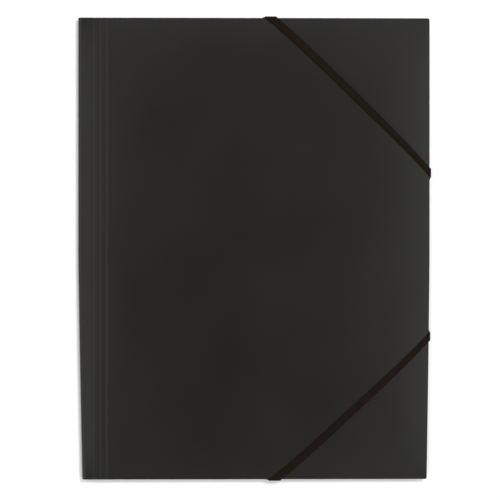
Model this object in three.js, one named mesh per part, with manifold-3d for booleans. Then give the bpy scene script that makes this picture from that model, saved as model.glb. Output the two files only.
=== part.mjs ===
// Elastic folder: a cover and spine of thin polypropylene sheet, a back cover with three folded
// flaps, and two flat woven bands that hold the right-hand corners of the closed cover down.
// Millimetres. The folder lies on its back: spine towards -X, head towards +Y, front cover up.

import * as THREE from 'three';
import { mergeVertices } from 'three/addons/utils/BufferGeometryUtils.js';
import Module from 'manifold-3d';

const wasm = await Module();
wasm.setup();

// Sizes that can be set by themselves
const coverHeight = 320; // along the spine
const coverWidth = 244; // spine's outer face to the front cover's fore edge
const sheet = 0.5; // thickness of the polypropylene sheet
const clearance = 0.3; // between pieces that lie on each other

const bandThickness = 0.8;
const bandWidthAtEnds = 5.8; // where a band crosses the head or foot edge
const bandWidthAtFore = 4.4; // where it crosses the fore edge, pulled narrower
const upperBandAlongHead = 110; // from the corner, along the head edge
const upperBandDownFore = 107; // from the corner, down the fore edge
const lowerBandAlongFoot = 107;
const lowerBandUpFore = 98.5;
const bandBackRun = 14; // from the edge to the slot, on the back
const bandTurnLean = 0.35; // share of its slant that a band keeps while it turns round an edge

const barDiameter = 1.6; // metal end bars that stop the bands behind their slots
const barOverhang = 2.2; // bar past each end of its slot
const barChamfer = 0.3;

const endFlapDepth = 85; // head and foot flaps
const endFlapTaper = 14; // how far each side slants in
const foreFlapDepth = 100;
const foreFlapTaper = 18;
const flapCornerRadius = 12;
const flapRelief = 3; // from a flap's root to the corner of the back cover
const foldInset = 0.6; // flaps' folds inside the front cover's edges
const joinOverlap = 1; // how far the sheet's parts run into each other before they are joined

const scoreFirst = 10.7; // spine's outer face to the first score line
const scorePitch = 4.5;
const scoreCount = 3;
const scoreWidth = 0.9;
const scoreDepth = 0.12;
const flapsFromScores = 6; // last score line to the end flaps' roots

const crownHeight = 1.3; // how far the front cover bows up in the middle
const drawSpine = 2.8; // how far the spine edge runs in at the foot
const drawFore = 2.05; // how far the fore edge runs in at the foot
const drawPower = 1.3; // how late below mid-height that starts

// How finely curves are cut
const rowsAlongCover = 16;
const columnsAcrossCover = 14;
const stepsPerTurn = 6; // in a quarter turn
const stepsAlongBand = 12;
const barSides = 12;

// Layers, from the surface that the folder lies on
const backOuter = bandThickness + clearance;
const backInner = backOuter + sheet;
const barCentre = backInner + clearance + barDiameter / 2;
const endFlapLower = barCentre + barDiameter / 2 + clearance;
const foreFlapLower = endFlapLower + sheet + clearance;
const coverLower = foreFlapLower + sheet + clearance;
const coverUpper = coverLower + sheet;

// Places across and along; the origin is under the middle of the whole outline
const halfHeight = coverHeight / 2;
const bandProud = clearance + bandThickness;
const spineFace = -(coverWidth + bandProud) / 2;
const foreEdge = spineFace + coverWidth;
const spineRadius = (coverLower - backOuter) / 2; // to the middle of the sheet
const spineX = spineFace + sheet / 2 + spineRadius;
const spineZ = (backOuter + coverUpper) / 2;
const scores = Array.from({ length: scoreCount }, (_, i) => (
  spineFace + scoreFirst + i * scorePitch));
const flapRootX = scores[scoreCount - 1] + flapsFromScores;
const foreFoldFace = foreEdge - foldInset;
const endFoldFace = halfHeight - foldInset;
const foreFoldRadius = (foreFlapLower - backOuter) / 2;
const endFoldRadius = (endFlapLower - backOuter) / 2;
const panelEdgeX = foreFoldFace - sheet / 2 - foreFoldRadius;
const panelEdgeY = endFoldFace - sheet / 2 - endFoldRadius;

// The front cover's bow: highest in the middle, nothing at its edges.
function crown(x, y) {
  const across = (2 * x - spineX - foreEdge) / (foreEdge - spineX);
  const along = y / halfHeight;
  return crownHeight * Math.max(0, 1 - across * across) * Math.max(0, 1 - along * along);
}

// The outline runs in towards the foot on both sides; the score lines stay straight.
function drawnX(x, y) {
  const late = Math.pow(Math.max(0, -y) / halfHeight, drawPower);
  const nearSpine = THREE.MathUtils.clamp((scores[0] - x) / (scores[0] - spineX), 0, 1);
  const nearFore = Math.max(0, x / foreEdge);
  return x + late * (drawSpine * nearSpine - drawFore * nearFore);
}

function moveVertices(geometry, place) {
  const position = geometry.attributes.position;
  const point = new THREE.Vector3();
  for (let i = 0; i < position.count; i += 1) {
    point.fromBufferAttribute(position, i);
    place(point);
    position.setXYZ(i, point.x, point.y, point.z);
  }
  return geometry;
}

const drawIn = (geometry) => moveVertices(geometry, (p) => { p.x = drawnX(p.x, p.y); });

// Closed meshes in and out of the boolean library
function solid(geometry) {
  const bare = geometry.clone();
  bare.deleteAttribute('normal');
  bare.deleteAttribute('uv');
  const welded = mergeVertices(bare);
  return new wasm.Manifold(new wasm.Mesh({
    numProp: 3,
    vertProperties: new Float32Array(welded.attributes.position.array),
    triVerts: new Uint32Array(welded.index.array),
  }));
}

function geometryOf(body) {
  const mesh = body.getMesh();
  const geometry = new THREE.BufferGeometry();
  geometry.setAttribute('position', new THREE.BufferAttribute(mesh.vertProperties, 3));
  geometry.setIndex(new THREE.BufferAttribute(mesh.triVerts, 1));
  return geometry;
}

// A bent sheet: a middle line with a thickness, carried straight along the third axis
// Each point of the line is { u, w, dent }: dent is how much is missing on the outer side there.
function sheetProfile(line) {
  const outer = [];
  const inner = [];
  line.forEach((point, i) => {
    const before = line[Math.max(0, i - 1)];
    const after = line[Math.min(line.length - 1, i + 1)];
    const run = new THREE.Vector2(after.u - before.u, after.w - before.w).normalize();
    const half = sheet / 2;
    const proud = half - (point.dent || 0);
    outer.push(new THREE.Vector2(point.u + run.y * proud, point.w - run.x * proud));
    inner.push(new THREE.Vector2(point.u - run.y * half, point.w + run.x * half));
  });
  return new THREE.Shape([...outer, ...inner.reverse()]);
}

// Points on an arc of the middle line, from one angle to another in degrees.
function arcLine(centreU, centreW, radius, from, to) {
  const steps = Math.ceil(Math.abs(to - from) / 90 * stepsPerTurn);
  return Array.from({ length: steps + 1 }, (_, i) => {
    const angle = THREE.MathUtils.degToRad(from + (to - from) * i / steps);
    return { u: centreU + radius * Math.cos(angle), w: centreW + radius * Math.sin(angle) };
  });
}

// The profile's u and w become X and Z, and it is carried along Y from one end to the other.
function carriedAlongY(line, from, to, rows) {
  const geometry = new THREE.ExtrudeGeometry(sheetProfile(line), {
    depth: to - from, steps: rows, bevelEnabled: false,
  });
  geometry.rotateX(Math.PI / 2);
  return geometry.translate(0, to, 0);
}

const scoreLine = (x, w) => [
  { u: x - scoreWidth / 2, w },
  { u: x, w, dent: scoreDepth },
  { u: x + scoreWidth / 2, w },
];

// Spine, front cover and back cover share one bent line
const splitLower = 225; // where the spine meets the back cover, in degrees round the bend
const splitUpper = 135;
const splitGap = THREE.MathUtils.radToDeg(clearance / 2 / spineRadius);

function spineGeometry() {
  const line = arcLine(spineX, spineZ, spineRadius, splitUpper + splitGap, splitLower - splitGap);
  return drawIn(carriedAlongY(line, -halfHeight, halfHeight, rowsAlongCover));
}

function frontCoverGeometry() {
  const w = coverLower + sheet / 2;
  const first = scores[scoreCount - 1] + scorePitch;
  const across = Array.from({ length: columnsAcrossCover + 1 }, (_, i) => (
    { u: foreEdge + (first - foreEdge) * i / columnsAcrossCover, w }));
  const line = [
    ...across,
    ...scores.flatMap((x) => scoreLine(x, w)).sort((a, b) => b.u - a.u),
    ...arcLine(spineX, spineZ, spineRadius, 90, splitUpper - splitGap),
  ];
  const geometry = carriedAlongY(line, -halfHeight, halfHeight, rowsAlongCover);
  moveVertices(geometry, (p) => { p.z += p.x > spineX ? crown(p.x, p.y) : 0; });
  return drawIn(geometry);
}

// A flap with its fold, made with the fold's face on Y = 0 and the flap lying towards -Y.
function foldedFlap(rootLength, depth, taper, radius) {
  const mid = backOuter + sheet / 2;
  const foldY = -sheet / 2 - radius;
  const line = [
    { u: foldY - joinOverlap, w: mid },
    ...arcLine(foldY, mid + radius, radius, -90, 90),
    { u: -depth, w: mid + 2 * radius },
  ];
  const geometry = carriedAlongY(line, -rootLength / 2, rootLength / 2, rowsAlongCover);
  geometry.rotateZ(Math.PI / 2);
  return { geometry, outline: flapOutline(rootLength, depth, taper, foldY - 2 * joinOverlap) };
}

// The flap's cut in plan: straight beside the fold, slanted sides, two round corners.
function flapOutline(rootLength, depth, taper, slantStart) {
  const half = rootLength / 2;
  const side = new THREE.Vector2(-taper, slantStart + depth).normalize();
  const outline = new THREE.Shape();
  const tip = half - taper;
  const roundX = side.x * flapCornerRadius;
  const roundY = side.y * flapCornerRadius - depth;
  outline.moveTo(-half, joinOverlap);
  outline.lineTo(-half, slantStart);
  outline.lineTo(-tip + roundX, roundY);
  outline.quadraticCurveTo(-tip, -depth, -tip + flapCornerRadius, -depth);
  outline.lineTo(tip - flapCornerRadius, -depth);
  outline.quadraticCurveTo(tip, -depth, tip - roundX, roundY);
  outline.lineTo(half, slantStart);
  outline.lineTo(half, joinOverlap);
  return outline;
}

function placedFlap({ geometry, outline }, turn, x, y) {
  const prism = new THREE.ExtrudeGeometry(outline, {
    depth: coverUpper, bevelEnabled: false, curveSegments: stepsPerTurn,
  });
  const place = (g) => drawIn(g.rotateZ(turn).translate(x, y, 0));
  return solid(place(geometry)).intersect(solid(place(prism)));
}

// A slot through the back cover for a band's end, long along the edge that it lies beside.
const slotWidth = bandThickness + 2 * clearance;

function slotCutter(end) {
  const box = new THREE.BoxGeometry(end.slotLength, slotWidth, 4 * sheet);
  if (end.beside === 'fore') box.rotateZ(Math.PI / 2);
  return solid(box.translate(drawnX(end.x, end.y), end.y, backOuter + sheet / 2));
}

function backCoverGeometry(ends) {
  const w = backOuter + sheet / 2;
  const spineSide = [
    ...arcLine(spineX, spineZ, spineRadius, splitLower + splitGap, 270),
    ...scores.flatMap((x) => scoreLine(x, w)),
    { u: flapRootX, w },
  ];
  const endFlapRoot = panelEdgeX - flapRelief - flapRootX;
  const endFlapX = (panelEdgeX - flapRelief + flapRootX) / 2;
  const endFlap = () => foldedFlap(endFlapRoot, endFlapDepth, endFlapTaper, endFoldRadius);
  const foreFlapRoot = 2 * (panelEdgeY - flapRelief);
  const foreFlap = foldedFlap(foreFlapRoot, foreFlapDepth, foreFlapTaper, foreFoldRadius);
  const panel = [{ u: flapRootX - joinOverlap, w }, { u: panelEdgeX, w }];
  const pieces = [
    solid(drawIn(carriedAlongY(spineSide, -halfHeight, halfHeight, rowsAlongCover))),
    solid(drawIn(carriedAlongY(panel, -panelEdgeY, panelEdgeY, rowsAlongCover))),
    placedFlap(endFlap(), 0, endFlapX, endFoldFace),
    placedFlap(endFlap(), Math.PI, endFlapX, -endFoldFace),
    placedFlap(foreFlap, -Math.PI / 2, foreFoldFace, 0),
  ];
  const sheetBody = pieces.reduce((whole, piece) => whole.add(piece));
  const slots = ends.map(slotCutter).reduce((all, cutter) => all.add(cutter));
  return geometryOf(sheetBody.subtract(slots));
}

// Bands: out through a slot, along the back, round the edge, across the corner and back in
// The path beside one edge, from the slot to the front: out is past the cover's edge, slide is
// how far the band has moved along the edge, away from the corner.
function edgePath(slope) {
  const turn = clearance + bandThickness / 2;
  const lead = 2;
  const path = [{ out: -bandBackRun - turn, z: backInner, normal: [-1, 0] }];
  const arc = (out, z, from, to) => arcLine(out, z, turn, from, to).forEach((p) => {
    path.push({ out: p.u, z: p.w, normal: [(p.u - out) / turn, (p.w - z) / turn] });
  });
  arc(-bandBackRun, backOuter, -180, -90);
  const backStart = path.length - 1;
  const turnStart = path.length;
  arc(0, backOuter, -90, 0);
  arc(0, coverUpper, 0, 90);
  const turnEnd = path.length - 1;
  path.push({ out: -lead, z: coverUpper + turn, normal: [0, 1], front: true });
  path[turnEnd].slide = 0;
  path[turnEnd + 1].slide = -slope * lead;
  for (let i = turnEnd - 1; i >= 0; i -= 1) {
    const length = Math.hypot(path[i].out - path[i + 1].out, path[i].z - path[i + 1].z);
    const share = i >= turnStart ? bandTurnLean : 1;
    path[i].slide = path[i + 1].slide + (i >= backStart ? slope * share * length : 0);
  }
  return path;
}

// What a band is, with its two ends in the back cover's slots. side is 1 at the head, -1 at the foot.
function bandPlan(alongEnd, alongFore, side) {
  const reach = Math.hypot(alongEnd, alongFore);
  const halfAtEnd = bandWidthAtEnds / 2 * reach / alongFore;
  const halfAtFore = bandWidthAtFore / 2 * reach / alongEnd;
  const endPath = edgePath(alongEnd / alongFore);
  const forePath = edgePath(alongFore / alongEnd);
  const crossX = foreEdge - alongEnd;
  const crossY = halfHeight - alongFore;
  const ends = [
    {
      beside: 'end', x: crossX - endPath[0].slide, y: side * (halfHeight + endPath[0].out),
      slotLength: 2 * (halfAtEnd + clearance),
    },
    {
      beside: 'fore', x: foreEdge + forePath[0].out, y: side * (crossY - forePath[0].slide),
      slotLength: 2 * (halfAtFore + clearance),
    },
  ];
  return { halfAtEnd, halfAtFore, endPath, forePath, crossX, crossY, side, ends };
}

function bandStations({ halfAtEnd, halfAtFore, endPath, forePath, crossX, crossY }) {
  const atEnd = endPath.map(({ out, z, normal, slide, front }) => ({
    low: new THREE.Vector3(crossX - slide - halfAtEnd, halfHeight + out, z),
    high: new THREE.Vector3(crossX - slide + halfAtEnd, halfHeight + out, z),
    normal: new THREE.Vector3(0, ...normal), front,
  }));
  const atFore = forePath.map(({ out, z, normal, slide, front }) => ({
    low: new THREE.Vector3(foreEdge + out, crossY - slide - halfAtFore, z),
    high: new THREE.Vector3(foreEdge + out, crossY - slide + halfAtFore, z),
    normal: new THREE.Vector3(normal[0], 0, normal[1]), front,
  })).reverse();
  const from = atEnd[atEnd.length - 1];
  const to = atFore[0];
  const across = Array.from({ length: stepsAlongBand - 1 }, (_, i) => ({
    low: from.low.clone().lerp(to.low, (i + 1) / stepsAlongBand),
    high: from.high.clone().lerp(to.high, (i + 1) / stepsAlongBand),
    normal: from.normal, front: true,
  }));
  return [...atEnd, ...across, ...atFore];
}

function bandGeometry(plan) {
  const stations = bandStations(plan);
  const last = stations.length - 1;
  const geometry = new THREE.BoxGeometry(1, 1, 1, last, 1, 1);
  moveVertices(geometry, (p) => {
    const station = stations[Math.round((p.x + 0.5) * last)];
    const lift = p.z * bandThickness;
    p.copy(p.y > 0 ? station.high : station.low).addScaledVector(station.normal, lift);
    p.z += station.front ? crown(p.x, p.y) : 0;
    p.y *= plan.side;
  });
  return drawIn(plan.side > 0 ? geometry : turnedInsideOut(geometry));
}

// A mirrored mesh has its triangles the wrong way round, so two corners of each change places.
function turnedInsideOut(geometry) {
  const index = geometry.index;
  for (let i = 0; i < index.count; i += 3) {
    const kept = index.getX(i);
    index.setX(i, index.getX(i + 1));
    index.setX(i + 1, kept);
  }
  return geometry;
}

// A small round bar across the slot, with chamfered ends.
function barGeometry(end) {
  const radius = barDiameter / 2;
  const half = end.slotLength / 2 + barOverhang;
  const profile = [
    [0, -half], [radius - barChamfer, -half], [radius, -half + barChamfer],
    [radius, half - barChamfer], [radius - barChamfer, half], [0, half],
  ].map(([r, l]) => new THREE.Vector2(r, l));
  const geometry = new THREE.LatheGeometry(profile, barSides);
  if (end.beside === 'end') geometry.rotateZ(Math.PI / 2);
  return geometry.translate(drawnX(end.x, end.y), end.y, barCentre);
}

// Materials
const finish = (color, roughness, metalness) => (
  new THREE.MeshStandardMaterial({ color, roughness, metalness }));
const coverPlastic = finish(0x2c2b29, 0.45, 0);
const wovenElastic = finish(0x221d17, 0.9, 0);
const barMetal = finish(0xb9bbbd, 0.35, 1);

const folder = new THREE.Group();

function addPiece(name, geometry, material) {
  const piece = new THREE.Mesh(geometry, material);
  piece.name = name;
  folder.add(piece);
}

const upperBand = bandPlan(upperBandAlongHead, upperBandDownFore, 1);
const lowerBand = bandPlan(lowerBandAlongFoot, lowerBandUpFore, -1);

const slotEnds = [...upperBand.ends, ...lowerBand.ends];

addPiece('back_cover', backCoverGeometry(slotEnds), coverPlastic.clone());
addPiece('spine', spineGeometry(), coverPlastic.clone());
addPiece('front_cover', frontCoverGeometry(), coverPlastic.clone());
addPiece('upper_band', bandGeometry(upperBand), wovenElastic.clone());
addPiece('lower_band', bandGeometry(lowerBand), wovenElastic.clone());
addPiece('upper_band_head_bar', barGeometry(upperBand.ends[0]), barMetal.clone());
addPiece('upper_band_fore_bar', barGeometry(upperBand.ends[1]), barMetal.clone());
addPiece('lower_band_foot_bar', barGeometry(lowerBand.ends[0]), barMetal.clone());
addPiece('lower_band_fore_bar', barGeometry(lowerBand.ends[1]), barMetal.clone());

export default folder;
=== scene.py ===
import math

import bmesh
import bpy
import numpy as np
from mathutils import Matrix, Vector


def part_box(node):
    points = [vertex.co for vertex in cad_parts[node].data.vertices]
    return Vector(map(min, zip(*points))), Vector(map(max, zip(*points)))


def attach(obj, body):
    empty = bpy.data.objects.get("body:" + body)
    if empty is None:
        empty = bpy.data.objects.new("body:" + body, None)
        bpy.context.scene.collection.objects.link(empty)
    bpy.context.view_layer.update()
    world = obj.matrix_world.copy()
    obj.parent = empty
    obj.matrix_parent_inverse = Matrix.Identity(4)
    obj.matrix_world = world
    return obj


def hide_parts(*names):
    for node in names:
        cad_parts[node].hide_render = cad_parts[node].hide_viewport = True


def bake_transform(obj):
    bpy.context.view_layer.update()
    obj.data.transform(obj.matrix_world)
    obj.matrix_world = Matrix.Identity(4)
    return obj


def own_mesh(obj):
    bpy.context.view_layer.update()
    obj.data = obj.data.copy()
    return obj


# Elastic folder for A4 paper: black polypropylene sheet and two woven bands, lying on its back.
# Spine towards -X, head towards +Y, front cover up. Lengths are metres.

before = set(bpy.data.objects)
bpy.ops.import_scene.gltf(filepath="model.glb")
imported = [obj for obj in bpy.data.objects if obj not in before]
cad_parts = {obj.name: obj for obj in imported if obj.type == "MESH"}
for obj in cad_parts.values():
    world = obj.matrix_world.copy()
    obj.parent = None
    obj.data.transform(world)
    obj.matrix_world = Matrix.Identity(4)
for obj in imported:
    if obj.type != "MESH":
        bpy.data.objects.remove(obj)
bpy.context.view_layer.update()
mm = 0.001
hair = 0.001 * mm                # slack where two heights are compared
sharpAngle = math.radians(35)    # a steeper edge between two faces is shaded sharp


def fromHex(code):
    # sRGB to linear: c/12.92 below 0.04045, else ((c + 0.055)/1.055)^2.4
    channel = np.array([int(code[i:i + 2], 16) for i in (1, 3, 5)]) / 255
    low = channel / 12.92
    high = ((channel + 0.055) / 1.055) ** 2.4
    return (*np.where(channel <= 0.04045, low, high), 1.0)


folder = {
    "sheet": 0.5 * mm,
    "clearance": 0.3 * mm,
    "halfHeight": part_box("front_cover")[1].y,
    "spineFace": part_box("spine")[0].x,
    "foreEdge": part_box("front_cover")[1].x,
    "backOuter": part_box("back_cover")[0].z,
    "foldInset": 0.6 * mm,
    "crown": 1.3 * mm,       # how far the front cover stands up off its edges
    "acrossPower": 6,        # the sheet is nearly flat inside and bends down near its edges
    "alongPower": 10,
    "headRoll": 0.3 * mm,    # how far the head edge droops
    "headRollReach": 6 * mm,
    "headRollFade": 10 * mm, # it starts from nothing at the bend and is full this far in
    "drawSpine": 2.8 * mm,   # both edges run in towards the foot
    "drawFore": 2.05 * mm,
    "drawPower": 1.3,
    "bendSteps": 40,         # mesh points round each half of the spine's bend
    "edgeRound": 0.2 * mm,   # the cut edge of the sheet
    "edgeSteps": 5,          # mesh points round that edge
}

# Heights of the layers above the table, and the bend that joins the two covers
backMid = folder["backOuter"] + folder["sheet"] / 2
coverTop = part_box("spine")[0].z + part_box("spine")[1].z - folder["backOuter"]
coverMid = coverTop - folder["sheet"] / 2
bendRadius = (coverMid - backMid) / 2
bendX = folder["spineFace"] + folder["sheet"] / 2 + bendRadius
bendZ = (coverMid + backMid) / 2
print("folder", round(folder["spineFace"] / mm, 2), "to", round(folder["foreEdge"] / mm, 2),
      "mm wide, cover top at", round(coverTop / mm, 2))


def crownAt(x, y):
    # crown times (1 - across^6)(1 - along^10), both running from -1 to 1 over the cover, less the
    # head's droop, which dies away as e^(-distance/reach)
    across = (2 * x - bendX - folder["foreEdge"]) / (folder["foreEdge"] - bendX)
    along = y / folder["halfHeight"]
    inside = np.clip(1 - across ** folder["acrossPower"], 0, 1)
    rise = folder["crown"] * inside * np.clip(1 - along ** folder["alongPower"], 0, 1)
    roll = folder["headRoll"] * np.exp((y - folder["halfHeight"]) / folder["headRollReach"])
    return rise - roll * np.clip((x - bendX) / folder["headRollFade"], 0, 1)


scoreLines = {
    "first": 10.7 * mm,      # from the spine's outer face
    "pitch": 4.5 * mm,
    "count": 3,
    "depth": 0.02 * mm,
    "halfWidth": 0.5 * mm,
    "columns": 15,           # mesh columns across each line
    "columnsReach": 2.2,     # how far they go to each side, in half widths
}
scoreX = (folder["spineFace"] + scoreLines["first"]
          + scoreLines["pitch"] * np.arange(scoreLines["count"]))


def scoreDent(x):
    # the sum of depth e^(-(distance/half width)^2) over the score lines
    away = (x[:, None] - scoreX[None, :]) / scoreLines["halfWidth"]
    return scoreLines["depth"] * np.exp(-away ** 2).sum(axis=1)


def flatColumns(start, end, count):
    # even columns from start to end, with finer ones across each score line
    reach = scoreLines["columnsReach"] * scoreLines["halfWidth"]
    fine = (scoreX[:, None] + np.linspace(-reach, reach, scoreLines["columns"])[None, :]).ravel()
    columns = np.concatenate([np.linspace(start, end, count), fine])
    return np.unique(np.round(columns, 7))    # columns closer than 0.1 micrometre become one


def drawnX(x, y):
    # x plus (share of the way from the middle to the foot)^power times each edge's run, which fades
    # out from the bend to the first score line, and from the fore edge to the middle
    late = (np.clip(-y, 0, None) / folder["halfHeight"]) ** folder["drawPower"]
    nearSpine = np.clip((scoreX[0] - x) / (scoreX[0] - bendX), 0, 1)
    nearFore = np.clip(x / folder["foreEdge"], 0, None)
    return x + late * (folder["drawSpine"] * nearSpine - folder["drawFore"] * nearFore)


def makeObject(name, points, quads):
    # points n by 3 and quads n by 4 as they are. The volume is a sixth of the sum of a.(b x c) over
    # the triangles, and where it comes out negative the faces are turned round
    a, b, c, d = (points[quads[:, i]] for i in range(4))
    corners = np.einsum("ij,ij->i", a, np.cross(b, c)) + np.einsum("ij,ij->i", a, np.cross(c, d))
    if corners.sum() < 0:
        quads = quads[:, ::-1]
    mesh = bpy.data.meshes.new(name)
    mesh.vertices.add(len(points))
    mesh.vertices.foreach_set("co", points.astype(np.float32).ravel())
    mesh.loops.add(quads.size)
    mesh.loops.foreach_set("vertex_index", quads.astype(np.int32).ravel())
    mesh.polygons.add(len(quads))
    mesh.polygons.foreach_set("loop_start", np.arange(0, quads.size, 4, dtype=np.int32))
    mesh.polygons.foreach_set("use_smooth", np.ones(len(quads), bool))
    mesh.update(calc_edges=True)
    mesh.validate()
    mesh.set_sharp_from_angle(angle=sharpAngle)
    obj = bpy.data.objects.new(name, mesh)
    bpy.context.scene.collection.objects.link(obj)
    return obj


def joined(target, others):
    # the others' faces added to the target's mesh, with nothing merged
    chosen = [target, *others]
    with bpy.context.temp_override(active_object=target, selected_editable_objects=chosen):
        bpy.ops.object.join()
    return target


def ringWalls(rows, ring):
    # quads between neighbouring rows of a closed ring of points
    index = np.arange(rows * ring).reshape(rows, ring)
    after = np.roll(index, -1, axis=1)
    return np.stack([index[:-1], after[:-1], after[1:], index[1:]], axis=-1).reshape(-1, 4)


def arcPath(centre, radius, start, end, steps):
    # centre + radius (cos, sin) from start to end degrees, with the outward normals
    angle = np.radians(np.linspace(start, end, steps))
    normal = np.stack([np.cos(angle), np.sin(angle)], axis=-1)
    return np.array(centre) + radius * normal, normal


def sheetRing(path, normal, dent):
    # round a sheet's section: outer side of the path, rounded cut edge, inner side back again.
    # The cut edge is a quarter circle on each side, radius edgeRound
    half = folder["sheet"] / 2
    trim = folder["edgeRound"]
    run = (path[-1] - path[-2]) / np.linalg.norm(path[-1] - path[-2])
    turn = np.radians(np.linspace(90, 0, folder["edgeSteps"]))[:, None]
    edge = path[-1] - run * trim * (1 - np.cos(turn))
    lift = half - trim + trim * np.sin(turn)
    middle = np.concatenate([path[:-1], edge])
    face = path[:-1] + normal[:-1] * (half - dent[:-1, None])
    outer = np.concatenate([face, edge + normal[-1] * lift])
    inner = np.concatenate([path[:-1] - normal[:-1] * half, edge - normal[-1] * lift])
    return np.concatenate([outer, inner[::-1]]), np.concatenate([middle, middle[::-1]])


def carriedSheet(ring, middle, halfRun, rows):
    # ring (u, w) carried along the third axis v from -halfRun to +halfRun. Each end is rounded by a
    # quarter circle: v stops short by trim (1 - cos) and the sheet thins by 2 trim (1 - sin)
    trim = folder["edgeRound"]
    steps = folder["edgeSteps"]
    turn = np.radians(np.linspace(0, 90, steps))
    short = trim * (1 - np.cos(turn))
    shrunk = 1 - 2 * trim * (1 - np.sin(turn)) / folder["sheet"]
    thin = np.concatenate([shrunk, np.ones(rows), shrunk[::-1]])
    share = np.linspace(-1, 1, rows + 2)[1:-1]
    v = np.empty((rows + 2 * steps, len(ring)))
    v[steps:-steps] = share[:, None] * (halfRun - trim)[None, :]
    v[:steps] = short[:, None] - halfRun[None, :]
    v[-steps:] = halfRun[None, :] - short[::-1, None]
    place = middle[None] + (ring - middle)[None] * thin[:, None, None]
    return place[..., 0], v, place[..., 1]


nearlyWhole = 0.999              # how much of its quarter circle a round corner goes through


def cornerCut(into, radius):
    # what a round corner takes off a sheet's run: radius (1 - sqrt(1 - share^2)), where share is 0
    # at the corner's start and 1 at the sheet's edge
    share = np.clip(into / radius, 0, 1)
    return radius * (1 - np.sqrt(1 - nearlyWhole * share ** 2))


def coverSection(columns, side):
    # a quarter circle from the middle of the spine's bend, up for side 1 and down for -1, then
    # flat along the columns, dented by scoreDent
    level = coverMid if side > 0 else backMid
    steps = folder["bendSteps"]
    bend, bendNormal = arcPath((bendX, bendZ), bendRadius, 180, 180 - 90 * side, steps)
    flat = np.stack([columns, np.full(len(columns), level)], axis=-1)
    normal = np.concatenate([bendNormal, np.tile([0.0, float(side)], (len(flat), 1))])
    dent = np.concatenate([np.zeros(len(bend)), scoreDent(columns)])
    return sheetRing(np.concatenate([bend, flat]), normal, dent)


def sheetObject(name, x, y, z):
    # rows of rings drawn in towards the foot, each end closed by quads across the sheet, where
    # point i of a ring faces point ring - 1 - i
    rows, ring = x.shape
    i = np.arange(ring // 2 - 1)
    cap = np.stack([i + 1, i, ring - 1 - i, ring - 2 - i], axis=-1)
    quads = np.concatenate([ringWalls(rows, ring), cap, cap[:, ::-1] + (rows - 1) * ring])
    return makeObject(name, np.stack([drawnX(x, y), y, z], axis=-1).reshape(-1, 3), quads)


frontCover = {
    "cornerRound": 1.2 * mm,
    "cornerAngles": [10, 20, 30, 40, 50, 90],    # where the columns stand in that corner, degrees
    "columns": 110,
    "rows": 170,
}


def makeFrontSheet():
    # upper half of the bend and the cover to its fore edge, raised by crownAt, two corners rounded
    corner = frontCover["cornerRound"]
    columns = flatColumns(bendX, folder["foreEdge"] - corner, frontCover["columns"])[1:]
    nearEdge = folder["foreEdge"] - corner * (1 - np.sin(np.radians(frontCover["cornerAngles"])))
    ring, middle = coverSection(np.concatenate([columns, nearEdge]), 1)
    halfRun = folder["halfHeight"] - cornerCut(middle[:, 0] - folder["foreEdge"] + corner, corner)
    x, y, z = carriedSheet(ring, middle, halfRun, frontCover["rows"])
    return sheetObject("front_sheet", x, y, z + np.where(x > bendX, crownAt(x, y), 0))


frontSheet = makeFrontSheet()
print("front sheet", len(frontSheet.data.polygons), "faces")

flaps = {
    "endDepth": 85 * mm,
    "endTaper": 14 * mm,
    "foreDepth": 100 * mm,
    "foreTaper": 18 * mm,
    "corner": 12 * mm,
    "relief": 3 * mm,
    "fromScores": 6 * mm,    # last score line to the end flaps' roots
    "foldSteps": 33,
    "columns": 60,
    "lastGap": 0.4 * mm,     # columns nearer than this to the flap's edge are left out
    "rows": 40,
}

# The folds: each layer lies over the one before it, with the bands' bars lowest
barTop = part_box("upper_band_head_bar")[1].z
endFlapMid = barTop + folder["clearance"] + folder["sheet"] / 2
foreFlapMid = endFlapMid + folder["sheet"] + folder["clearance"]
endFoldRadius = (endFlapMid - backMid) / 2
foreFoldRadius = (foreFlapMid - backMid) / 2
flapRootX = scoreX[-1] + flaps["fromScores"]
panelEdgeX = folder["foreEdge"] - folder["foldInset"] - folder["sheet"] / 2 - foreFoldRadius
panelEdgeY = folder["halfHeight"] - folder["foldInset"] - folder["sheet"] / 2 - endFoldRadius

backPanel = {
    "columns": 60,
    "rows": 80,
    "step": 0.3 * mm,        # to each side of the flaps' roots, where the panel gets shorter
}


def makeBackPanel():
    # lower half of the bend and the back to the fore fold; a little shorter beside the end flaps
    columns = flatColumns(bendX, panelEdgeX, backPanel["columns"])[1:]
    besideStep = [flapRootX - backPanel["step"], flapRootX + backPanel["step"]]
    ring, middle = coverSection(np.unique(np.concatenate([columns, besideStep])), -1)
    halfRun = np.where(middle[:, 0] < flapRootX, folder["halfHeight"], panelEdgeY)
    return sheetObject("back_panel", *carriedSheet(ring, middle, halfRun, backPanel["rows"]))


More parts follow.
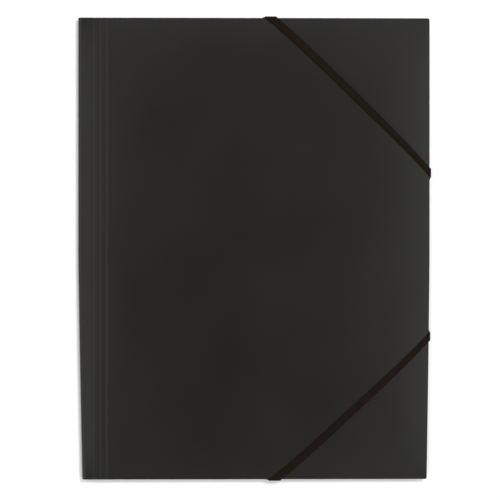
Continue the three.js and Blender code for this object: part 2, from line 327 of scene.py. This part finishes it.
def makeFlap(name, rootLength, depth, taper, radius, turn, place):
    # a half round fold and a flat flap; its half width is the root's, less the slant, less a round
    # corner. Made along its own two axes, then turned and put in its place
    foldEnd = -folder["sheet"] / 2 - radius
    fold, foldNormal = arcPath((foldEnd, backMid + radius), radius, -90, 90, flaps["foldSteps"])
    reach = foldEnd - (foldEnd + depth) * np.sin(np.linspace(0, math.pi / 2, flaps["columns"])[1:])
    reach = np.append(reach[reach > flaps["lastGap"] - depth], -depth)
    flat = np.stack([reach, np.full(len(reach), backMid + 2 * radius)], axis=-1)
    path = np.concatenate([fold, flat])
    normal = np.concatenate([foldNormal, np.tile([0.0, 1.0], (len(flat), 1))])
    ring, middle = sheetRing(path, normal, np.zeros(len(path)))
    into = np.where(middle[:, 1] > backMid + radius, -middle[:, 0], 0)
    slant = taper * np.clip((into + foldEnd) / (depth + foldEnd), 0, 1)
    halfRun = rootLength / 2 - slant - cornerCut(into - depth + flaps["corner"], flaps["corner"])
    away, along, z = carriedSheet(ring, middle, halfRun, flaps["rows"])
    c, s = math.cos(turn), math.sin(turn)
    return sheetObject(name, place[0] - c * along - s * away, place[1] - s * along + c * away, z)


def makeFlaps():
    # head and foot flaps fold in first, the fore flap over them
    endRoot = panelEdgeX - flaps["relief"] - flapRootX
    endX = (panelEdgeX - flaps["relief"] + flapRootX) / 2
    endY = folder["halfHeight"] - folder["foldInset"]
    foreX = folder["foreEdge"] - folder["foldInset"]
    foreRoot = 2 * (panelEdgeY - flaps["relief"])
    endSizes = (endRoot, flaps["endDepth"], flaps["endTaper"], endFoldRadius)
    foreSizes = (foreRoot, flaps["foreDepth"], flaps["foreTaper"], foreFoldRadius)
    head = makeFlap("inner_flaps", *endSizes, 0, (endX, endY))
    foot = makeFlap("foot_flap", *endSizes, math.pi, (endX, -endY))
    fore = makeFlap("fore_flap", *foreSizes, -math.pi / 2, (foreX, 0))
    return joined(head, [foot, fore])


band = {
    "thickness": 0.8 * mm,
    "widthAtEnds": 5.8 * mm,
    "widthAtFore": 4.4 * mm,
    "backRun": 14 * mm,      # from the edge to the slot
    "turnLean": 0.35,        # how much of its slant it keeps while it turns round an edge
    "lead": 2 * mm,
    "bow": 1.6 * mm,         # friction holds the middle a little nearer to the corner
    "bowPower": 4,
    "ribs": 4,               # cords side by side in the weave
    "ribHeight": 0.14 * mm,
    "cordPower": 0.8,        # below 1 the cords are fuller than a sine
    "dip": 0.32,             # half of what a cord loses under a crossing thread
    "pick": 1.9 * mm,        # one crossing thread to the next, coarser than real so that it shows
    "sidePower": 8,          # how square the band's section is
    "sideLeast": 0.02,       # keeps the very edge from thinning to nothing
    "step": 0.24 * mm,       # mesh rows along the band
    "slotSteps": 13,
    "turnSteps": 19,
    "acrossTop": 41,         # mesh points across its face
    "acrossUnder": 9,
    "crowding": 0.35,        # share of the spacing that draws the face's points to its edges
}
upperBand = {"alongEnd": 110 * mm, "alongFore": 107 * mm, "side": 1}
lowerBand = {"alongEnd": 107 * mm, "alongFore": 98.5 * mm, "side": -1}
turnRadius = folder["clearance"] + band["thickness"] / 2    # the band's middle round an edge


def edgeWalk(slope):
    # the band's path beside one edge, as distance outwards from the edge and height: down through
    # the slot, out under the back, up round the edge and in over the front. It slides along the
    # edge by slope times its length, by less while it turns, and not at all in the slot
    back = folder["backOuter"]
    slot = (-band["backRun"], back)
    slotTurn, slotNormal = arcPath(slot, turnRadius, -180, -90, band["slotSteps"])
    under, underNormal = arcPath((0, back), turnRadius, -90, 0, band["turnSteps"])
    over, overNormal = arcPath((0, coverTop), turnRadius, 0, 90, band["turnSteps"])
    foot = np.array([[-band["backRun"] - turnRadius, back + folder["sheet"]]])
    lead = np.array([[-band["lead"], coverTop + turnRadius]])
    path = np.concatenate([foot, slotTurn, under, over, lead])
    normal = np.concatenate([[[-1, 0]], slotNormal, underNormal, overNormal, [[0, 1]]])
    length = np.linalg.norm(np.diff(path, axis=0), axis=1)
    turning = np.full(2 * band["turnSteps"] - 1, band["turnLean"])
    share = np.concatenate([np.zeros(band["slotSteps"]), [1.0], turning, [1.0]])
    slide = np.concatenate([np.cumsum((slope * share * length)[::-1])[::-1], [0]])
    return path, normal, slide - slope * band["lead"]


def bandStations(plan):
    # the two edges and the outward normal of the flat band, station by station from slot to slot.
    # Along an edge its half width is half its width times diagonal / the other leg
    reach = math.hypot(plan["alongEnd"], plan["alongFore"])
    halfAtEnd = band["widthAtEnds"] / 2 * reach / plan["alongFore"]
    halfAtFore = band["widthAtFore"] / 2 * reach / plan["alongEnd"]
    crossX = folder["foreEdge"] - plan["alongEnd"]
    crossY = folder["halfHeight"] - plan["alongFore"]
    path, normal, slide = edgeWalk(plan["alongEnd"] / plan["alongFore"])
    zero = np.zeros(len(path))
    endMiddle = np.stack([crossX - slide, folder["halfHeight"] + path[:, 0], path[:, 1]], axis=-1)
    endNormal = np.stack([zero, normal[:, 0], normal[:, 1]], axis=-1)
    endAcross = np.tile([halfAtEnd, 0, 0], (len(path), 1))
    path, normal, slide = edgeWalk(plan["alongFore"] / plan["alongEnd"])
    foreMiddle = np.stack([folder["foreEdge"] + path[:, 0], crossY - slide, path[:, 1]], axis=-1)
    foreNormal = np.stack([normal[:, 0], zero, normal[:, 1]], axis=-1)
    foreAcross = np.tile([0, halfAtFore, 0], (len(path), 1))
    middle = np.concatenate([endMiddle, foreMiddle[::-1]])
    across = np.concatenate([endAcross, foreAcross])
    return middle - across, middle + across, np.concatenate([endNormal, foreNormal[::-1]])


def resampled(values, distance, wanted):
    # each column of values read off, straight between its points, at the wanted distances
    return np.stack([np.interp(wanted, distance, column) for column in values.T], axis=-1)


def bandPath(plan):
    # middle, half width and normal at even distances, the front part moved towards the corner by
    # bow (1 - share^4), share running from -1 to 1
    low, high, normal = bandStations(plan)
    middle = (low + high) / 2
    distance = np.concatenate([[0], np.cumsum(np.linalg.norm(np.diff(middle, axis=0), axis=1))])
    wanted = np.linspace(0, distance[-1], int(distance[-1] / band["step"]))
    middle = resampled(middle, distance, wanted)
    half = resampled((high - low) / 2, distance, wanted)
    normal = resampled(normal, distance, wanted)
    normal /= np.linalg.norm(normal, axis=1)[:, None]
    front = middle[:, 2] > coverTop + turnRadius - hair
    share = np.linspace(-1, 1, front.sum())[:, None]
    corner = np.array([plan["alongFore"], plan["alongEnd"]])
    bow = band["bow"] * (1 - share ** band["bowPower"])
    middle[front, :2] += bow * corner / np.linalg.norm(corner)
    return middle, half, normal, wanted


def bandSection():
    # places across the band: -1 to 1 over its face, partly spaced by a sine, and back underneath
    even = np.linspace(-1, 1, band["acrossTop"])
    face = band["crowding"] * np.sin(even * math.pi / 2) + (1 - band["crowding"]) * even
    under = np.linspace(1, -1, band["acrossUnder"] + 2)[1:-1]
    across = np.concatenate([face, under])
    return across, np.arange(len(across)) < len(face)


def weave(across, along):
    # cords side by side, each a half sine, which dips by a cosine of the distance along it where
    # the crossing thread passes, every other cord in turn
    place = (across + 1) / 2 * band["ribs"]
    cord = np.sin(math.pi * (place % 1)) ** band["cordPower"]
    turnOver = np.cos(2 * math.pi * along / band["pick"] + math.pi * np.floor(place))
    return cord * (1 - band["dip"] + band["dip"] * turnOver)


def makeBand(name, plan):
    # middle + half width times across + normal times height. The height is half the thickness times
    # (1 - across^8)^(1/2), less the weave's grooves on the face; over the cover crownAt is added
    middle, half, normal, along = bandPath(plan)
    across, onFace = bandSection()
    squareness = 1 - np.abs(across) ** band["sidePower"]
    body = np.sqrt(np.clip(squareness, band["sideLeast"], 1)) * band["thickness"] / 2
    relief = weave(across[None, :], along[:, None]) * onFace[None, :]
    carved = body[None, :] - band["ribHeight"] * (1 - relief)
    height = np.where(onFace[None, :], carved, -body[None, :])
    points = (middle[:, None, :] + half[:, None, :] * across[None, :, None]
              + normal[:, None, :] * height[..., None])
    onFront = (middle[:, 2] > coverTop)[:, None]
    lift = np.where(onFront, crownAt(points[..., 0], points[..., 1]), 0)
    points[..., 2] += np.maximum(lift, 0)
    points[..., 1] *= plan["side"]
    points[..., 0] = drawnX(points[..., 0], points[..., 1])
    rows, ring = height.shape
    obj = makeObject(name, points.reshape(-1, 3), ringWalls(rows, ring))
    closeEnds(obj, range(ring), range((rows - 1) * ring, rows * ring))
    # the cord height also sets the painted groove shade in the material; edge is the distance from
    # the middle
    for label, value in (("cord", relief), ("edge", np.abs(across)[None, :] * np.ones((rows, 1)))):
        layer = obj.data.attributes.new(label, "FLOAT", "POINT")
        layer.data.foreach_set("value", value.astype(np.float32).ravel())
    return obj


def closeEnds(obj, first, last):
    # one many-sided face over each open end of the tube
    work = bmesh.new()
    work.from_mesh(obj.data)
    work.verts.ensure_lookup_table()
    for loop in (first, last):
        work.faces.new([work.verts[i] for i in loop])
    bmesh.ops.recalc_face_normals(work, faces=work.faces[:])
    work.to_mesh(obj.data)
    work.free()


def slotCutters():
    # a box round each end of each band, one clearance wider on every side, right through the back
    cutters = []
    width = band["thickness"] + 2 * folder["clearance"]
    tall = 4 * folder["sheet"]
    unit = np.array([[x, y, z] for x in (-.5, .5) for y in (-.5, .5) for z in (-.5, .5)])
    quads = np.array([[0, 1, 3, 2], [4, 6, 7, 5], [0, 4, 5, 1],
                      [2, 3, 7, 6], [0, 2, 6, 4], [1, 5, 7, 3]])
    for plan in (upperBand, lowerBand):
        low, high, _ = bandStations(plan)
        for end in (0, -1):
            middle = (low[end] + high[end]) / 2 * (1, plan["side"], 1)
            along = np.linalg.norm(high[end] - low[end]) + 2 * folder["clearance"]
            size = (along, width, tall) if end == 0 else (width, along, tall)
            box = unit * size + [drawnX(middle[0], middle[1]), middle[1], backMid]
            cutters.append(makeObject(f"slot{len(cutters)}", box, quads))
    return joined(cutters[0], cutters[1:])


def cutSlots(panel):
    # the panel less the four boxes
    cutter = slotCutters()
    cut = panel.modifiers.new("slots", "BOOLEAN")
    cut.object = cutter
    cut.solver = "EXACT"
    with bpy.context.temp_override(object=panel, active_object=panel):
        bpy.ops.object.modifier_apply(modifier="slots")
    bpy.data.objects.remove(cutter)


backSheet = makeBackPanel()
cutSlots(backSheet)
innerFlaps = makeFlaps()
print("back sheet", len(backSheet.data.polygons), "faces, flaps", len(innerFlaps.data.polygons))
upperStrap = makeBand("upper_strap", upperBand)
lowerStrap = makeBand("lower_strap", lowerBand)
print("bands", len(upperStrap.data.polygons) + len(lowerStrap.data.polygons), "faces")


def addNode(tree, kind, links=None, inputs=None, **settings):
    # one node with its settings; links joins sockets to its inputs, and inputs gives them values
    node = tree.nodes.new(kind)
    for name, value in settings.items():
        setattr(node, name, value)
    for name, value in (inputs or {}).items():
        node.inputs[name].default_value = value
    for name, socket in (links or {}).items():
        tree.links.new(socket, node.inputs[name])
    return node


def newMaterial(name):
    # an empty material and its node tree
    material = bpy.data.materials.new(name)
    material.use_nodes = True
    material.node_tree.nodes.clear()
    return material, material.node_tree


plasticLook = {
    "deep": "#1a1915",
    "pale": "#1d1c18",
    "creaseWhiteningAndHighlight": "#22211d",      # paler along a score line: partly the stress whitening of the plastic, partly a painted highlight of the embossed line
    "creaseFull": 0.2 * mm,   # out to here from the line's middle, and gone at creaseEnd
    "creaseEnd": 0.9 * mm,
    "roughness": 0.26,
    "roughSpread": 0.012,
    "ior": 1.49,
    "grain": 0.35 * mm,       # embossed frosting, real size
    "grainHeight": 0.004 * mm,
    "wave": 60 * mm,          # slow unevenness of the extruded sheet
    "waveHeight": 0.02 * mm,
    "waveLow": 0.3,           # part of the noise's range that changes colour and roughness
    "waveHigh": 0.7,
}


def polypropylene():
    # Extruded polypropylene sheet, carbon black, from finely frosted rolls: satin, with soft edged
    # reflections
    look = plasticLook
    material, tree = newMaterial("Frosted black polypropylene")
    place = addNode(tree, "ShaderNodeTexCoord").outputs["Object"]
    wave = addNode(tree, "ShaderNodeTexNoise", {"Vector": place},
                   {"Scale": 1 / look["wave"], "Detail": 2.0}).outputs["Fac"]
    grain = addNode(tree, "ShaderNodeTexNoise", {"Vector": place},
                    {"Scale": 1 / look["grain"], "Detail": 1.0}).outputs["Fac"]
    tone = addNode(tree, "ShaderNodeMapRange", {"Value": wave},
                   {"From Min": look["waveLow"], "From Max": look["waveHigh"]}).outputs["Result"]
    colour = addNode(tree, "ShaderNodeMix", {"Factor": tone},
                     {"A": fromHex(look["deep"]), "B": fromHex(look["pale"])}, data_type="RGBA")
    rough = addNode(tree, "ShaderNodeMapRange", {"Value": tone},
                    {"To Min": look["roughness"] - look["roughSpread"],
                     "To Max": look["roughness"] + look["roughSpread"]})
    across = addNode(tree, "ShaderNodeSeparateXYZ", {"Vector": place}).outputs["X"]
    nearest = None            # distance to the nearest score line
    for x in scoreX:
        away = addNode(tree, "ShaderNodeMath", {0: across}, {1: x}, operation="SUBTRACT")
        away = addNode(tree, "ShaderNodeMath", {0: away.outputs[0]},
                       operation="ABSOLUTE").outputs[0]
        if nearest is None:
            nearest = away
        else:
            nearest = addNode(tree, "ShaderNodeMath", {0: nearest, 1: away},
                              operation="MINIMUM").outputs[0]
    # painted highlight and stress whitening: the colour turns paler within creaseEnd of a score
    # line
    creaseWhiteningAndHighlight = addNode(tree, "ShaderNodeMapRange", {"Value": nearest},
                     {"From Min": look["creaseFull"], "From Max": look["creaseEnd"],
                      "To Min": 1.0, "To Max": 0.0})
    mixed = addNode(tree, "ShaderNodeMix", {"Factor": creaseWhiteningAndHighlight.outputs["Result"],
                                            "A": colour.outputs["Result"]},
                    {"B": fromHex(look["creaseWhiteningAndHighlight"])}, data_type="RGBA")
    slow = addNode(tree, "ShaderNodeBump", {"Height": wave},
                   {"Strength": 1.0, "Distance": look["waveHeight"]})
    fine = addNode(tree, "ShaderNodeBump", {"Height": grain, "Normal": slow.outputs["Normal"]},
                   {"Strength": 1.0, "Distance": look["grainHeight"]})
    shader = addNode(tree, "ShaderNodeBsdfPrincipled",
                     {"Base Color": mixed.outputs["Result"], "Roughness": rough.outputs["Result"],
                      "Normal": fine.outputs["Normal"]}, {"IOR": look["ior"]})
    addNode(tree, "ShaderNodeOutputMaterial", {"Surface": shader.outputs["BSDF"]})
    return material


elasticLook = {
    # the groove colour is painted shade: near black between the cords, where the weave lies in
    # shadow
    "grooveShade": "#060403",
    "crest": "#2a2118",
    "grooveShadeBelow": 0.25,      # cord height, 0 to 1, where the painted groove shade ends
    "crestAbove": 0.95,
    "wornCrest": "#3d2a1b",   # threads of uneven brown show through the black
    "fade": 2.6 * mm,         # length of such a patch
    "fadeLow": 0.45,          # part of the noise's range that turns brown
    "fadeHigh": 0.7,
    "selvedge": "#0f0c09",
    "selvedgeFrom": 0.72,     # from the middle, 0, to the edge, 1
    "selvedgeFull": 0.92,
    "roughness": 0.85,
    "ior": 1.45,
    "gloss": 0.15,            # loose fibres reflect little
    "fibre": 0.12 * mm,
    "fibreHeight": 0.02 * mm,
}


def wovenElastic():
    # Rubber cords wrapped in textured polyester and woven flat: matt, with painted shade darkening
    # the grooves between the cords
    look = elasticLook
    material, tree = newMaterial("Woven polyester elastic")
    place = addNode(tree, "ShaderNodeTexCoord").outputs["Object"]
    cord = addNode(tree, "ShaderNodeAttribute", attribute_name="cord").outputs["Fac"]
    edge = addNode(tree, "ShaderNodeAttribute", attribute_name="edge").outputs["Fac"]
    fibre = addNode(tree, "ShaderNodeTexNoise", {"Vector": place},
                    {"Scale": 1 / look["fibre"], "Detail": 2.0})
    patch = addNode(tree, "ShaderNodeTexNoise", {"Vector": place},
                    {"Scale": 1 / look["fade"], "Detail": 1.0})
    worn = addNode(tree, "ShaderNodeMapRange", {"Value": patch.outputs["Fac"]},
                   {"From Min": look["fadeLow"], "From Max": look["fadeHigh"]})
    crest = addNode(tree, "ShaderNodeMix", {"Factor": worn.outputs["Result"]},
                    {"A": fromHex(look["crest"]), "B": fromHex(look["wornCrest"])},
                    data_type="RGBA")
    # painted shade: the colour runs from near black at low cord height to the crest colour at the
    # top of each cord
    height = addNode(tree, "ShaderNodeMapRange", {"Value": cord},
                     {"From Min": look["grooveShadeBelow"], "From Max": look["crestAbove"]})
    colour = addNode(tree, "ShaderNodeMix", {"Factor": height.outputs["Result"],
                                             "B": crest.outputs["Result"]},
                     {"A": fromHex(look["grooveShade"])}, data_type="RGBA")
    rim = addNode(tree, "ShaderNodeMapRange", {"Value": edge},
                  {"From Min": look["selvedgeFrom"], "From Max": look["selvedgeFull"]})
    mixed = addNode(tree, "ShaderNodeMix", {"Factor": rim.outputs["Result"],
                                            "A": colour.outputs["Result"]},
                    {"B": fromHex(look["selvedge"])}, data_type="RGBA")
    fuzz = addNode(tree, "ShaderNodeBump", {"Height": fibre.outputs["Fac"]},
                   {"Strength": 1.0, "Distance": look["fibreHeight"]})
    shader = addNode(tree, "ShaderNodeBsdfPrincipled",
                     {"Base Color": mixed.outputs["Result"], "Normal": fuzz.outputs["Normal"]},
                     {"Roughness": look["roughness"], "IOR": look["ior"],
                      "Specular IOR Level": look["gloss"]})
    addNode(tree, "ShaderNodeOutputMaterial", {"Surface": shader.outputs["BSDF"]})
    return material


steelLook = {
    "dark": "#a9abad",
    "light": "#c4c6c8",
    "darkBelow": 0.3,         # part of the noise's range between the two colours
    "lightAbove": 0.7,
    "line": 0.4 * mm,         # width of a drawing line, coarser than real so that it shows
    "squeeze": 6,             # how much narrower the lines are in height
    "smoothest": 0.28,
    "roughest": 0.42,
}


def crimpedSteel():
    # Drawn mild steel wire, bright zinc plated: fine lines along the bar
    look = steelLook
    material, tree = newMaterial("Zinc plated steel bar")
    place = addNode(tree, "ShaderNodeTexCoord").outputs["Object"]
    stretch = addNode(tree, "ShaderNodeMapping", {"Vector": place},
                      {"Scale": (1, 1, look["squeeze"])})
    lines = addNode(tree, "ShaderNodeTexNoise", {"Vector": stretch.outputs["Vector"]},
                    {"Scale": 1 / look["line"], "Detail": 2.0}).outputs["Fac"]
    tone = addNode(tree, "ShaderNodeMapRange", {"Value": lines},
                   {"From Min": look["darkBelow"], "From Max": look["lightAbove"]})
    colour = addNode(tree, "ShaderNodeMix", {"Factor": tone.outputs["Result"]},
                     {"A": fromHex(look["dark"]), "B": fromHex(look["light"])}, data_type="RGBA")
    rough = addNode(tree, "ShaderNodeMapRange", {"Value": lines},
                    {"To Min": look["smoothest"], "To Max": look["roughest"]})
    shader = addNode(tree, "ShaderNodeBsdfPrincipled",
                     {"Base Color": colour.outputs["Result"], "Roughness": rough.outputs["Result"]},
                     {"Metallic": 1.0})
    addNode(tree, "ShaderNodeOutputMaterial", {"Surface": shader.outputs["BSDF"]})
    return material


plastic = polypropylene()
elastic = wovenElastic()
steel = crimpedSteel()
for sheetPiece in (frontSheet, backSheet, innerFlaps):
    sheetPiece.data.materials.clear()
    sheetPiece.data.materials.append(plastic)
for strap in (upperStrap, lowerStrap):
    strap.data.materials.clear()
    strap.data.materials.append(elastic)
for name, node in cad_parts.items():
    node.data.materials.clear()
    node.data.materials.append(steel if name.endswith("bar") else plastic)
print("materials done")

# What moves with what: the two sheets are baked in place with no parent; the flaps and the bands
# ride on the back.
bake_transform(frontSheet)
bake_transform(backSheet)
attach(innerFlaps, "back")
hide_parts("front_cover", "spine")
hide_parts("back_cover")
for strap, node in ((upperStrap, "upper_band"), (lowerStrap, "lower_band")):
    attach(strap, "back")
    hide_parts(node)
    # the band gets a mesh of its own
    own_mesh(strap)
print("motion done")

table = {
    "size": 6.0,
    "colour": "#f9f9f9",
    "lift": 0.13,                 # added for the eye only, so that the bare table is white
    "farLift": 0.4,               # the same, out where the key light no longer reaches
    "farFrom": 0.4,
    "farTo": 1.8,
}


def makeTable():
    # one square of matt white, with a little light of its own that only the eye and reflections see
    half = table["size"] / 2
    mesh = bpy.data.meshes.new("table")
    corners = [(-half, -half, 0), (half, -half, 0), (half, half, 0), (-half, half, 0)]
    mesh.from_pydata(corners, [], [(0, 1, 2, 3)])
    obj = bpy.data.objects.new("table", mesh)
    bpy.context.scene.collection.objects.link(obj)
    material, tree = newMaterial("White table")
    body = addNode(tree, "ShaderNodeBsdfDiffuse", inputs={"Color": fromHex(table["colour"])})
    path = addNode(tree, "ShaderNodeLightPath").outputs
    seen = addNode(tree, "ShaderNodeMath", {0: path["Is Camera Ray"], 1: path["Is Glossy Ray"]},
                   operation="MAXIMUM")
    place = addNode(tree, "ShaderNodeTexCoord").outputs["Object"]
    away = addNode(tree, "ShaderNodeVectorMath", {0: place}, operation="LENGTH").outputs["Value"]
    lift = addNode(tree, "ShaderNodeMapRange", {"Value": away},
                   {"From Min": table["farFrom"], "From Max": table["farTo"],
                    "To Min": table["lift"], "To Max": table["farLift"]})
    strength = addNode(tree, "ShaderNodeMath", {0: seen.outputs[0], 1: lift.outputs["Result"]},
                       operation="MULTIPLY")
    glow = addNode(tree, "ShaderNodeEmission", {"Strength": strength.outputs[0]},
                   {"Color": (1, 1, 1, 1)})
    both = addNode(tree, "ShaderNodeAddShader", {0: body.outputs[0], 1: glow.outputs[0]})
    addNode(tree, "ShaderNodeOutputMaterial", {"Surface": both.outputs[0]})
    mesh.materials.append(material)


view = {
    "height": 0.9,
    "width": 0.3467,              # seen across the cover's top
    "aim": (-0.0033, -0.0010),    # the folder stands a little right of and above the middle
    "tilt": 0.6,                  # degrees; the fore edge is a little further off
}


def makeCamera():
    # straight above the aim but for the tilt; lens = sensor width times distance / width seen
    away = view["height"] - coverTop
    tilt = math.radians(view["tilt"])
    data = bpy.data.cameras.new("camera")
    data.lens = data.sensor_width * away / view["width"]
    camera = bpy.data.objects.new("camera", data)
    camera.location = (view["aim"][0] - away * math.sin(tilt), view["aim"][1],
                       coverTop + away * math.cos(tilt))
    camera.rotation_euler = (0, -tilt, 0)
    bpy.context.scene.collection.objects.link(camera)
    bpy.context.scene.camera = camera


room = {
    "gap": 0.004,                 # light of the gap overhead, seen in the plastic
    "low": 0.4,                   # share of the panels' light left towards the horizon
    "lowAt": 0.6,                 # height, 0 horizon to 1 overhead, where it is down to that
    "fullAt": 0.85,
}
# Light panels round the gap: the sine of the angle from overhead where each starts and is full
panels = {
    "left": {"axis": "X", "start": -0.105, "full": -0.37, "level": 1.28},
    "right": {"axis": "X", "start": 0.067, "full": 0.433, "level": 1.35},
    "head": {"axis": "Y", "start": 0.0, "full": 0.443, "level": 0.36},
    "foot": {"axis": "Y", "start": -0.134, "full": -0.295, "level": 0.2},
}


def makeWorld():
    # gap + (sum of the panels) times the dimming towards the horizon; the camera itself sees white
    world = bpy.data.worlds.new("room")
    world.use_nodes = True
    tree = world.node_tree
    tree.nodes.clear()
    way = addNode(tree, "ShaderNodeTexCoord").outputs["Generated"]
    apart = addNode(tree, "ShaderNodeSeparateXYZ", {"Vector": way})
    low = addNode(tree, "ShaderNodeMapRange", {"Value": apart.outputs["Z"]},
                  {"From Min": room["lowAt"], "From Max": room["fullAt"], "To Min": room["low"]},
                  interpolation_type="SMOOTHSTEP").outputs["Result"]
    level = None
    for panel in panels.values():
        rise = addNode(tree, "ShaderNodeMapRange", {"Value": apart.outputs[panel["axis"]]},
                       {"From Min": panel["start"], "From Max": panel["full"],
                        "To Max": panel["level"]},
                       interpolation_type="SMOOTHSTEP").outputs["Result"]
        if level is None:
            level = rise
        else:
            level = addNode(tree, "ShaderNodeMath", {0: level, 1: rise}, operation="ADD").outputs[0]
    level = addNode(tree, "ShaderNodeMath", {0: level, 1: low}, operation="MULTIPLY").outputs[0]
    level = addNode(tree, "ShaderNodeMath", {0: level}, {1: room["gap"]},
                    operation="ADD").outputs[0]
    path = addNode(tree, "ShaderNodeLightPath")
    shown = addNode(tree, "ShaderNodeMix", {"Factor": path.outputs["Is Camera Ray"], "A": level},
                    {"B": 1.0}, data_type="FLOAT")
    glow = addNode(tree, "ShaderNodeBackground", {"Strength": shown.outputs["Result"]},
                   {"Color": (1, 1, 1, 1)})
    addNode(tree, "ShaderNodeOutputWorld", {"Surface": glow.outputs["Background"]})
    bpy.context.scene.world = world


keyLight = {
    "energy": 12.0,
    "size": 0.4,
    "place": (0.57, 0.57, 1.39),
}


def makeKeyLight():
    # a large soft light up to the right of the head: the shadow falls left and towards the foot
    data = bpy.data.lights.new("key", "AREA")
    data.shape = "DISK"
    data.size = keyLight["size"]
    data.energy = keyLight["energy"]
    lamp = bpy.data.objects.new("key", data)
    lamp.location = keyLight["place"]
    lamp.visible_glossy = False   # the plastic mirrors only the panels
    lamp.rotation_euler = (-Vector(lamp.location)).to_track_quat("-Z", "Y").to_euler()
    bpy.context.scene.collection.objects.link(lamp)


makeTable()
makeCamera()
makeWorld()
makeKeyLight()
bpy.context.scene.view_settings.view_transform = "Standard"
print("studio done")
